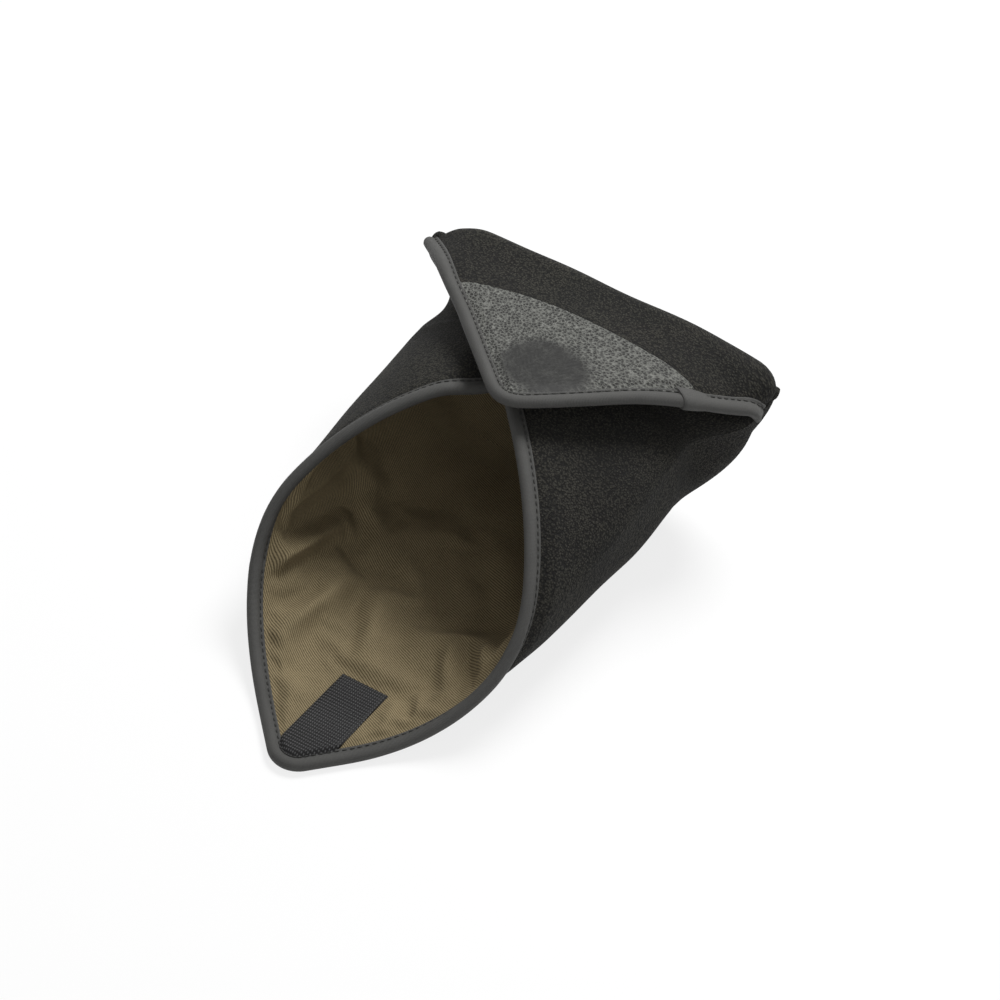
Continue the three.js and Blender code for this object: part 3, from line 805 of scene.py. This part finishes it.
def foldEnd(sign, name):
    # the end of the fold: a roll of the cloth that closes it from the side panel up to the binding,
    # slimmer at the bottom; radius and plug are for the left and the right, inset for bottom and top
    roll = {
        "from": -42.0, "to": 9.0, "radius": (2.3, 1.5), "plug": (1.2, 1.5),
        "inset": (1.0, 6.0), "lift": 0.6, "around": 16,
    }
    p = np.linspace(roll["from"], roll["to"], 48)
    top = ease(-14, -1, p)
    core = backMap(sign * (flap["half"] - mix(*roll["inset"], top)), p)
    along = unit(np.gradient(core, axis=0))
    out = normalOf(backMap, np.full_like(p, sign * (flap["half"] - 4)), p)
    out = unit(out - along * np.einsum("ij,ij->i", out, along)[:, None])
    size = (bySide(roll["radius"], sign) + bySide(roll["plug"], sign) * top) * ease(roll["from"] - 6, -14, p)
    size = size * np.sqrt(np.clip((roll["to"] - p) / 4, 0.02, 1))
    angles = ringAngles(roll["around"])
    points = roundRings(core + out * roll["lift"], along, out, size, angles)
    piece = tubePiece(name, points, (angles * 2.3, p[:, None]), loopFinish)
    return follow(piece, "base")


foldEnd(1, "right_fold_end")
foldEnd(-1, "left_fold_end")
print("outer cloth made")


# Bindings
def frontPath():
    # the tongue's edge: up one side, round the tip, down the other
    y = np.linspace(split["front"], tongueTip / root2, 40)
    a = np.linspace(-math.pi / 4, -3 * math.pi / 4, 24)
    arc = np.stack([tongueTip * np.cos(a), tongueTip * root2 + tongueTip * np.sin(a)], -1)
    return resample(np.concatenate([np.stack([y, y], -1), arc, np.stack([-y, y], -1)[::-1]]), tape["step"])


def sidePath(sign):
    # a side flap's edge from the tongue to the ear
    e = np.linspace(split["front"], split["rear"] + tuck["length"] - 3.5, 240)
    return resample(np.stack([sign * mouthEdge(e), e], -1), tape["step"])


def backPath():
    # the closing flap's edge from the left end of the fold round the tip to the right end
    reach = flap["half"] - flap["tipRadius"] / root2
    q = np.linspace(1.0, reach, 60)
    a = np.linspace(3 * math.pi / 4, math.pi / 4, 24)
    r = flap["tipRadius"]
    arc = np.stack([r * np.cos(a), foldTurn + flap["half"] - r * root2 + r * np.sin(a)], -1)
    left = np.stack([q - flap["half"], q + foldTurn], -1)
    return softened(resample(np.concatenate([left, arc, left[::-1] * (-1, 1)]), tape["step"]), 6)


def bindingPiece(name, shape, path, side, where, roundEnds, *nodes):
    # the tape along an edge, with a row of stitches on each face
    inward = inwardOf(path, side)
    piece = sweepPiece(name, shape, path, inward, profile, tapeFinish, roundEnds)
    follow(piece, where)
    for face, word in ((1, "outer"), (-1, "inner")):
        follow(stitchPiece(f"{name}_{word}_stitches", shape, path, inward, face), where)
    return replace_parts(piece, *nodes)


bindingPiece("front_binding", wrapMap, frontPath(), -1, "tongueFold", (False, False), "tongue_binding")
bindingPiece("right_binding", sideMap, sidePath(1), 1, "rightFold", (False, True),
             "right_flap_binding", "rim_binding_right", "ear_binding_right")
bindingPiece("left_binding", sideMap, sidePath(-1), -1, "leftFold", (False, True),
             "left_flap_binding", "rim_binding_left", "ear_binding_left")
bindingPiece("back_binding", backMap, backPath(), -1, "backFold", (True, True), "closing_flap_binding")


def bindingTurn(sign, name):
    # round the end of the fold the binding carries on: a soft tube on a cubic curve
    # from the flap's edge to the side flap's
    turn = {"radius": 2.7, "reach": 15.0, "into": 3, "rings": 30, "around": 18}
    ends = []
    for shape, path, side in ((backMap, backPath(), -1), (sideMap, sidePath(sign), sign)):
        line = path + inwardOf(path, side) * tape["bead"][0]
        line = line[::-1] if shape is sideMap or sign > 0 else line
        at = shape(line[:, 0], line[:, 1])
        ends.append((at[turn["into"]], unit(at[0] - at[turn["into"]]) * turn["reach"]))
    (a, fromA), (b, fromB) = ends
    v = np.linspace(0, 1, turn["rings"])[:, None]
    core = (2 * v**3 - 3 * v**2 + 1) * a + (v**3 - 2 * v**2 + v) * fromA
    core = core + (3 * v**2 - 2 * v**3) * b - (v**3 - v**2) * fromB
    along = unit(np.gradient(core, axis=0))
    out = unit(np.cross(along, (0.0, 1.0, 0.3)))
    angles = ringAngles(turn["around"])
    radius = turn["radius"] * (1 - 0.08 * (2 * v[:, 0] - 1) ** 6)
    points = roundRings(core, along, out, radius, angles)
    piece = tubePiece(name, points, (v * 20, angles * 2.7), tapeFinish)
    print(name, "spans", round(float(np.linalg.norm(a - b)), 1), "mm")
    return follow(piece, "backFold")


bindingTurn(1, "right_binding_turn")
bindingTurn(-1, "left_binding_turn")
print("bindings made")


# Lining
folds = {  # from (s, d) to (s, d), height and width of each ridge or hollow in the twill
    "leftRidge": (-71, 72, -53, 124, 7.5, 5.0),
    "leftHollow": (-74, 88, -60, 138, -2.0, 6.0),
    "lowRidge": (-42, 58, -33, 102, 6.0, 6.0),
    "lowHollow": (-21, 78, -27, 110, -2.0, 5.0),
    "middleRidge": (-3, 64, -14, 106, 3.0, 7.0),
    "rightRidge": (23, 100, 42, 70, 5.0, 5.0),
    "rightCrease": (33, 98, 55, 68, -3.0, 3.0),
    "rightSwell": (45, 100, 63, 80, 5.0, 5.0),
    "mouthRidge": (-84, 100, -76, 150, 2.6, 5.0),
    "mouthHollow": (-92, 112, -86, 150, -1.4, 4.0),
    "stripPucker": (21, 62, 27, 40, 1.9, 2.6),
    "rimPucker": (31, 66, 40, 50, 2.0, 2.6),
    "sidePucker": (40, 124, 68, 94, 2.4, 4.0),
    "leftPucker": (-54, 64, -44, 86, -1.4, 3.5),
    "tipPucker": (-16, 30, -20, 48, 1.6, 3.0),
}
strip = {  # its left and right edges at the near and the far end
    "left": (-8.1, -5.7), "right": (16.2, 17.7), "end": 58.8,
    "low": 2.3, "high": 3.6, "cells": (56, 96), "pitch": 1.7,
}
drape = {
    "across": 128.0, "near": 4.0, "far": 176.0, "cell": 2.0, "sewn": 6.5, "hem": 8.0,
    "spare": 0.03, "frames": 24, "size": 0.02,
}


def seeds(s, d):
    # ridges and hollows that start the folds, each fading from its own line, over a faint uneven ground
    height = 0.8 + 0.35 * np.sin(s / 11 + d / 19) * np.sin(d / 13 - s / 29) + 0.15 * np.sin(s / 3.7 + d / 5.3)
    for s0, d0, s1, d1, high, width in folds.values():
        goS, goD = s1 - s0, d1 - d0
        along = np.clip(((s - s0) * goS + (d - d0) * goD) / (goS**2 + goD**2), 0, 1)
        gap = np.hypot(s - s0 - along * goS, d - d0 - along * goD)
        fade = 0.35 + 0.65 * np.sin(math.pi * np.clip(along, 0.05, 0.95))
        height = height + high * np.exp(-((gap / width) ** 2)) * fade
    return height


def besideStrip(s, d):
    # distance outside the hook strip
    return np.maximum(np.maximum(strip["left"][0] - s, s - strip["right"][1]), d - strip["end"])


def settledTwill():
    # the twill as one flat sheet, sewn along its edges and under the strip, seeded with the folds:
    # it is given spare length and settles, and its height is how far it stands off the foam
    s = np.arange(-drape["across"], drape["across"] + 1, drape["cell"])
    d = np.arange(drape["near"], drape["far"] + 1, drape["cell"])
    s, d = np.meshgrid(s, d)
    edge = np.where(d < split["front"], (d - np.abs(s)) / root2, edgeGap(s, d))
    hem = drape["far"] - drape["hem"]
    sewn = (edge < drape["sewn"]) | (d > hem) | (besideStrip(s, d) < 2)
    height = seeds(s, d) * ease(drape["sewn"], 13, edge) * ease(0, 8, besideStrip(s, d))
    height = height * (1 - ease(150, hem, d))
    mesh = bpy.data.meshes.new("twillSheet")
    mesh.from_pydata((stacked(s, d, height) * drape["size"]).reshape(-1, 3), [], quads(*s.shape))
    sheet = bpy.data.objects.new("twillSheet", mesh)
    scene.collection.objects.link(sheet)
    sheet.vertex_groups.new(name="sewn").add(np.flatnonzero(sewn).tolist(), 1.0, "REPLACE")
    settle = sheet.modifiers.new("settle", "CLOTH").settings
    settle.vertex_group_mass = "sewn"
    settle.quality, settle.mass, settle.air_damping = 8, 0.15, 2.0
    settle.tension_stiffness = settle.compression_stiffness = 20
    settle.shear_stiffness, settle.bending_stiffness = 8, 0.6
    settle.shrink_min = -drape["spare"]
    settle.effector_weights.gravity = 0
    for step in range(1, drape["frames"] + 1):
        scene.frame_set(step)
    settled = sheet.evaluated_get(bpy.context.evaluated_depsgraph_get()).data
    co = np.empty(len(settled.vertices) * 3, np.float32)
    settled.vertices.foreach_get("co", co)
    bpy.data.objects.remove(sheet)
    bpy.data.meshes.remove(mesh)
    scene.frame_set(1)
    rise = co.reshape(*s.shape, 3)[..., 2] / drape["size"]
    print("twill settled: seeds to", round(float(height.max()), 2),
          "now", np.round([rise.min(), rise.max(), rise.std()], 2))
    return rise


twillHeight = settledTwill()


def splineWeights(t):
    # shares of four neighbours in a uniform cubic spline
    return (1 - t) ** 3 / 6, (3 * t**3 - 6 * t**2 + 4) / 6, (-3 * t**3 + 3 * t**2 + 3 * t + 1) / 6, t**3 / 6


def settledAt(s, d):
    # height of the settled twill by a cubic spline over its grid
    rows, columns = twillHeight.shape
    u, v = (s + drape["across"]) / drape["cell"], (d - drape["near"]) / drape["cell"]
    i, j = np.clip(np.floor(u), 1, columns - 3).astype(int), np.clip(np.floor(v), 1, rows - 3).astype(int)
    wu, wv = splineWeights(np.clip(u - i, 0, 1)), splineWeights(np.clip(v - j, 0, 1))
    return sum(wv[m] * wu[n] * twillHeight[j + m - 1, i + n - 1] for m in range(4) for n in range(4))


def puckers(run, edge):
    # small gathers where the binding draws the twill in
    return 0.45 * (np.sin(run / 2.6 + 2.1 * np.sin(run / 11.3)) + 0.5) * np.exp(-(((edge - 9) / 4.5) ** 2))


def liningPiece(name, shape, a, b, edge, rise, held, where, *nodes):
    # a thin sheet under the foam, squeezed flat at the binding
    free = ease(5.4, 9.5, edge)
    near, far = cloth["lining"]
    high = -mix(near - 0.15, near, free) - rise * free * 0.85
    low = -mix(far - 0.3, far, free) - rise * free
    piece = shellPiece(name, shape, a, b, low, high, twillFinish)
    follow(piece, where)
    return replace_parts(piece, *nodes) if nodes else piece


def slack(s, d, edge):
    # how far the lining stands off the foam: its folds and gathers near the mouth, nearly flat at the back
    near = settledAt(s, d) + 0.4 + puckers(d * root2, edge) * ease(0, 6, besideStrip(s, d))
    return mix(np.maximum(0, near), 0.6, ease(140, drape["far"], d))


def frontLining():
    # the corner of twill on the tongue
    d = cornerRows(tongueTip, liningInset, split["front"], 110)[:, None]
    half = cornerHalf(d, tongueTip, liningInset)
    s = half * sideToSide(120)
    d = d + 0 * s
    edge = (half - np.abs(s)) / root2 + liningInset
    liningPiece("front_lining", wrapMap, s, d, edge, slack(s, d, edge), "laid", "tongueFold", "tongue_lining")


liningRows = np.linspace(split["front"], split["rear"], 150)


def baseLining():
    # the twill between the two side flaps
    d = liningRows[:, None]
    s = sideSplit(d) * sideToSide(130)
    d = d + 0 * s
    edge = edgeGap(s, d)
    liningPiece("base_lining_cloth", wrapMap, s, d, edge, slack(s, d, edge), "laid", "base", "base_lining")


def sideLining(sign, name, fold):
    # the twill inside a side flap, its columns running left to right on both sides
    deep = tuckRows[tuckRows < split["rear"] + tuck["length"] - 7.5]
    e = np.concatenate([liningRows, deep])[:, None]
    far = mouthEdge(e) - liningInset * edgeSlope(e)
    s = sign * mix(sideSplit(e), far, np.linspace(0, 1, 90)[None, :])[:, ::sign]
    e = e + 0 * s
    edge = edgeGap(s, e)
    liningPiece(name + "_lining_cloth", sideMap, s, e, edge, slack(s, e, edge), "laid", fold,
                name + "_lining")


def backTwill(name, p, where, *nodes):
    # as wide as the cloth, drawn in where the fold's ends close
    q = np.maximum(0, p - foldTurn)
    half = np.where(p < foldTurn, flap["half"], cornerHalf(flap["half"] - q, flap["tipRadius"], liningInset))
    drawn = 1.5 + 6.5 * np.exp(-((p / 16) ** 2))
    x = np.minimum(half, flap["half"] - drawn) * sideToSide(110)
    p = p + 0 * x
    edge = np.where(p < foldTurn, 20, (half - np.abs(x)) / root2 + liningInset)
    rise = 0.25 + 0.25 * np.sin(x / 9 + p / 14) * np.sin(p / 8 - x / 21)
    liningPiece(name, backMap, x, p, edge, rise, "folded", where, *nodes)


frontLining()
baseLining()
sideLining(1, "right_flap", "rightFold")
sideLining(-1, "left_flap", "leftFold")
backTwill("stern_lining", sternSpan, "base")
backTwill("back_lining", flapRows(liningInset, flap["half"] - 3, 60), "backFold", "closing_flap_lining")
print("lining made")


# Trims
def hookSurface(u, v, pitch):
    # moulded stems in a square field, each a rounded bump
    return 0.28 * np.abs(np.sin(math.pi * u / pitch) * np.sin(math.pi * v / pitch)) ** 0.7


def frontStrip():
    # its near end follows the binding round the tip and is sewn in under it
    columns, rows = strip["cells"]
    v = np.linspace(0, 1, rows)[:, None]
    u = np.linspace(0, 1, columns)[None, :]
    s = mix(mix(strip["left"][0], strip["right"][0], u), mix(strip["left"][1], strip["right"][1], u), v)
    inner = tongueTip - tape["depth"]
    bend = tongueTip * root2 - np.sqrt(np.maximum(0, inner**2 - s**2))
    near = np.where(np.abs(s) < inner / root2, bend, np.abs(s) + tape["depth"] * root2) - 1.8
    d = mix(near, strip["end"], v)
    rim = np.minimum(np.minimum(u, 1 - u) * 24, (1 - v) * 40)
    under = ease(0.0, 3.5, d - near)
    stems = hookSurface(s, d, strip["pitch"]) * under * ease(0.6, 1.6, rim)
    high = mix(1.75, strip["high"] - 0.3, under) - 0.5 * np.exp(-rim / 0.5) + stems
    low = mix(1.35, strip["low"], under)
    piece = shellPiece("front_hooks", wrapMap, s, d, -high, -low, hookFinish)
    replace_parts(follow(piece, "tongueFold"), "front_hook_strip")


def flapPad():
    # a level pad under the flap, its rim rounded off
    pad = {"half": 22.0, "near": 32.0, "far": 56.0, "low": 2.5, "high": 3.5, "cells": (104, 60), "pitch": 1.7}
    columns, rows = pad["cells"]
    x = pad["half"] * sideToSide(columns)
    p = foldTurn + np.linspace(pad["near"], pad["far"], rows)[:, None] + 0 * x
    rim = np.minimum(pad["half"] - np.abs(x), np.minimum(p - p.min(), p.max() - p))
    stems = hookSurface(x, p, pad["pitch"]) * ease(0.6, 1.6, rim)
    high = pad["high"] - 0.3 - 0.5 * np.exp(-rim / 0.5) + stems
    piece = shellPiece("flap_hooks", backMap, x + 0 * p, p, -high, -pad["low"], hookFinish)
    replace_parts(follow(piece, "closing_flap"), "closing_hook_pad")


def leatherCorner():
    # a corner of leather under the binding, its upper edge cut to a low arc
    patch = {
        "far": 60.0, "bow": 10.0, "rim": (1.2, 1.85), "low": 1.9, "high": 3.0,
        "inset": 4.4, "blank": (3.0, 59.6), "cells": (150, 110),
    }
    columns, rows = patch["cells"]
    far = cornerRows(flap["tipRadius"], patch["inset"], patch["far"], rows)[::-1, None]
    u = sideToSide(columns)
    v = (far - far.min()) / np.ptp(far)
    half = cornerHalf(far, flap["tipRadius"], patch["inset"])
    x = half * u
    q = flap["half"] - far - patch["bow"] * (1 - u * u) * v
    edge = (half - np.abs(x)) / root2
    cut = (1 - v) * patch["far"]
    grain = 0.08 * np.sin(x * 2.1 + np.sin(q * 1.3)) * np.sin(q * 1.9 + np.sin(x * 1.1))
    dent = 0.3 * (1 - ease(13, 19, np.hypot(x - patch["blank"][0], q - patch["blank"][1])))
    free = ease(0.8, 4.5, edge)
    high = mix(patch["rim"][1], patch["high"] + grain - dent, free) - 0.3 * np.exp(-cut / 0.6)
    low = mix(patch["rim"][0], patch["low"], free)
    piece = shellPiece("leather_corner", backMap, x, foldTurn + q, low, high, leatherFinish)
    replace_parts(follow(piece, "backFold"), "leather_corner_patch")


def bindingSleeve():
    # a wrap of tape over the join in the binding, narrowing to the right
    sleeve = {"from": 50.0, "to": 59.0, "centre": 3.0, "across": 4.9, "high": 3.6, "taper": 0.3}
    v = np.linspace(0, 1, 26)
    x = mix(sleeve["from"], sleeve["to"], v)
    path = np.stack([x, foldTurn + flap["half"] - x], -1)
    inward = np.full((len(v), 2), -1 / root2)
    a = ringAngles(36)
    wide = np.sign(np.cos(a)) * np.abs(np.cos(a)) ** 0.75
    loop = np.stack([sleeve["centre"] + sleeve["across"] * wide, sleeve["high"] * np.sin(a)], -1)
    size = 1 - sleeve["taper"] * v**2
    size = size * (1 - 0.12 * np.exp(-v / 0.03) - 0.12 * np.exp(-(1 - v) / 0.03))
    points = carried(backMap, path, inward, loop, sleeve["centre"], size)
    piece = tubePiece("binding_sleeve", points, (v[:, None] * 12, a * 3.5), tapeFinish, 60)
    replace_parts(follow(piece, "closing_flap"), "binding_join_cover")


frontStrip()
flapPad()
leatherCorner()
bindingSleeve()
print("trims made")


# Stage, light and camera
def aim(thing, target):
    # turns a lamp or camera so that it looks at the target
    back = unit(np.array(thing.location) - target)
    thing.rotation_mode = "QUATERNION"
    thing.rotation_quaternion = mathutils.Vector(-back).to_track_quat("-Z", "Y")


def stageAndLight():
    # a white paper floor, an even studio and two soft lamps
    lamps = {  # place in metres, size, power
        "overhead": ((0.1, 0.88, 1.28), 0.65, 28.0),
        "front": ((0.9, -1.2, 0.9), 1.4, 5.5),
    }
    ambient = 0.27
    bpy.ops.mesh.primitive_plane_add(size=12, location=(0, 0, -0.0006))
    floor = bpy.context.object
    floor.name = "floor"
    paper = Finish("whitePaper", Roughness=0.9, Base_Color=(0.86, 0.86, 0.86, 1))
    glow = paper.add("ShaderNodeEmission", None, {"Strength": 1.0})
    plain = Wire(paper, paper.skin.outputs[0])
    both = paper.add("ShaderNodeMixShader", None, {0: paper.backdrop() * 0.8, 1: plain, 2: glow})
    paper.tree.links.new(both.socket, paper.tree.nodes["Material Output"].inputs[0])
    floor.data.materials.append(paper.material)
    scene.world = bpy.data.worlds.new("studio")
    studio = Finish("studio", scene.world, "Background", Color=(1, 1, 1, 1))
    studio.feed(Strength=studio.backdrop() * (1 - ambient) + ambient)
    for name, (spot, size, power) in lamps.items():
        lamp = bpy.data.lights.new(name, "AREA")
        lamp.shape, lamp.size, lamp.energy = "DISK", size, power
        key = bpy.data.objects.new(name, lamp)
        scene.collection.objects.link(key)
        key.location = spot
        aim(key, place((20, 130, 40)))


def photoCamera():
    # stands back from its target by azimuth and elevation; the focal length is in pixels of a 1000 wide frame
    shot = {
        "azimuth": 32.81, "elevation": 46.0, "target": (19.5, 144.05, 50.0),
        "distance": 1340.0, "focal": 3106.54,
    }
    az, el = math.radians(shot["azimuth"]), math.radians(shot["elevation"])
    back = np.array((math.sin(az) * math.cos(el), -math.cos(az) * math.cos(el), math.sin(el)))
    data = bpy.data.cameras.new("camera")
    data.sensor_width, data.lens = 36.0, 36.0 * shot["focal"] / 1000
    camera = bpy.data.objects.new("camera", data)
    scene.collection.objects.link(camera)
    camera.location = place(shot["target"]) + back * shot["distance"] * 0.001
    aim(camera, place(shot["target"]))
    scene.camera = camera


stageAndLight()
photoCamera()
